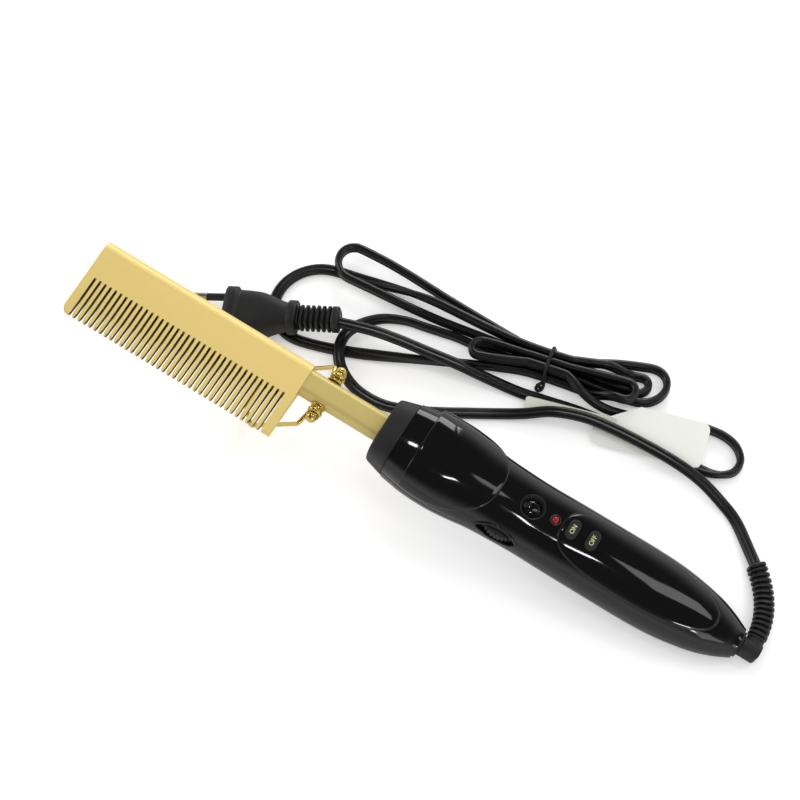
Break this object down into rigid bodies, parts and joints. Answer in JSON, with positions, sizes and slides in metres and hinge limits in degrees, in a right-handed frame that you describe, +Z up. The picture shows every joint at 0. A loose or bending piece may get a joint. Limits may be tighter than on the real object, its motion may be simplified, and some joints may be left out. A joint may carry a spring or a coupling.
{
  "type": "hot comb",
  "caption": "Heated metal comb on a neck tube with a folding wire stand, a black handle with thumbwheel, lamp and buttons, and a flat cord tied in a hank with a two-pin plug.",
  "frame": {"origin": "on the surface it lies on, below the middle of the tool's box without its cord", "axes": "+X from the comb towards the cord's inlet, +Y towards the tied cord, +Z up; the comb end is raised ten degrees on its stand"},
  "size_m": [0.3337, 0.1383, 0.07],
  "materials": {
    "comb_gold": "satin gold anodised",
    "neck_gold": "satin greenish gold",
    "polished_gold": "polished",
    "steel": "satin",
    "matt_black": "matt",
    "gloss_black": "glossy",
    "ceramic": "matt",
    "window_clear": "clear",
    "lamp_red": "glossy",
    "bright_ring": "polished",
    "grey_plastic": "matt",
    "brass_hub": "satin",
    "blue_plastic": "matt",
    "board_green": "satin",
    "mustard": "matt",
    "tan": "matt",
    "lead_white": "matt",
    "lead_brown": "matt",
    "spring_bronze": "satin",
    "cord_black": "satin",
    "boot_black": "matt",
    "plug_black": "satin",
    "pin_metal": "polished",
    "tag_white": "satin"
  },
  "bodies": {
    "tool": {"comb_plate": "comb_gold", "heater_rod": "steel", "neck_insert": "neck_gold", "neck_tube": "neck_gold", "stand_stud": "polished_gold", "stand_lock_nuts": "polished_gold", "stand_acorn_nuts": "polished_gold", "collar": "matt_black", "heat_bush": "ceramic", "upper_shell": "gloss_black", "lower_shell": "gloss_black", "front_hood": "gloss_black", "top_panel": "gloss_black", "window_bezel": "matt_black", "dial_window": "window_clear", "power_lamp": "lamp_red", "lamp_ring": "bright_ring", "dial_potentiometer": "blue_plastic", "circuit_board": "board_green", "button_switches": "grey_plastic", "board_capacitor": "mustard", "power_triac": "matt_black", "thermal_fuse": "steel", "board_resistors": "tan", "board_screws": "steel", "shell_screws": "steel", "heater_leads": "lead_white", "supply_leads": "lead_brown", "contact_block": "ceramic", "contact_springs": "spring_bronze", "tail_socket": "matt_black", "plug_body": "plug_black", "pin_sleeves": "plug_black", "plug_pins": "pin_metal", "plug_boot": "boot_black", "cord_lead": "cord_black", "cord_bundle": "cord_black", "cord_tail": "cord_black", "cord_tie": "boot_black", "cord_tag": "tag_white"},
    "stand": {"stand_wire": "polished_gold"},
    "dial": {"dial_wheel": "matt_black", "dial_hub": "brass_hub"},
    "on_key": {"on_button": "matt_black", "on_plunger": "grey_plastic"},
    "off_key": {"off_button": "matt_black", "off_plunger": "grey_plastic"},
    "swivel": {"swivel_core": "grey_plastic", "swivel_elbow": "matt_black", "cord_boot": "boot_black"}
  },
  "joints": [
    {"name": "stand_pivot", "type": "hinge", "parent": "tool", "child": "stand", "pos_m": [-0.05013, 0.0053, 0.04449], "axis": [0, 1, 0], "range_deg": [-50, 30]},
    {"name": "dial_turn", "type": "hinge", "parent": "tool", "child": "dial", "pos_m": [0.04445, 0.0003, 0.03208], "axis": [0.1736, 0, 0.9848], "range_deg": [-135, 135]},
    {"name": "on_press", "type": "slide", "parent": "tool", "child": "on_key", "axis": [-0.1736, 0, -0.9848], "range_m": [0, 0.001], "stiffness_N_per_m": 900},
    {"name": "off_press", "type": "slide", "parent": "tool", "child": "off_key", "axis": [-0.1736, 0, -0.9848], "range_m": [0, 0.001], "stiffness_N_per_m": 900},
    {"name": "swivel_turn", "type": "hinge", "parent": "tool", "child": "swivel", "pos_m": [0.1619, 0.0053, 0.00711], "axis": [0.9848, 0, -0.1736], "continuous": true}
  ]
}
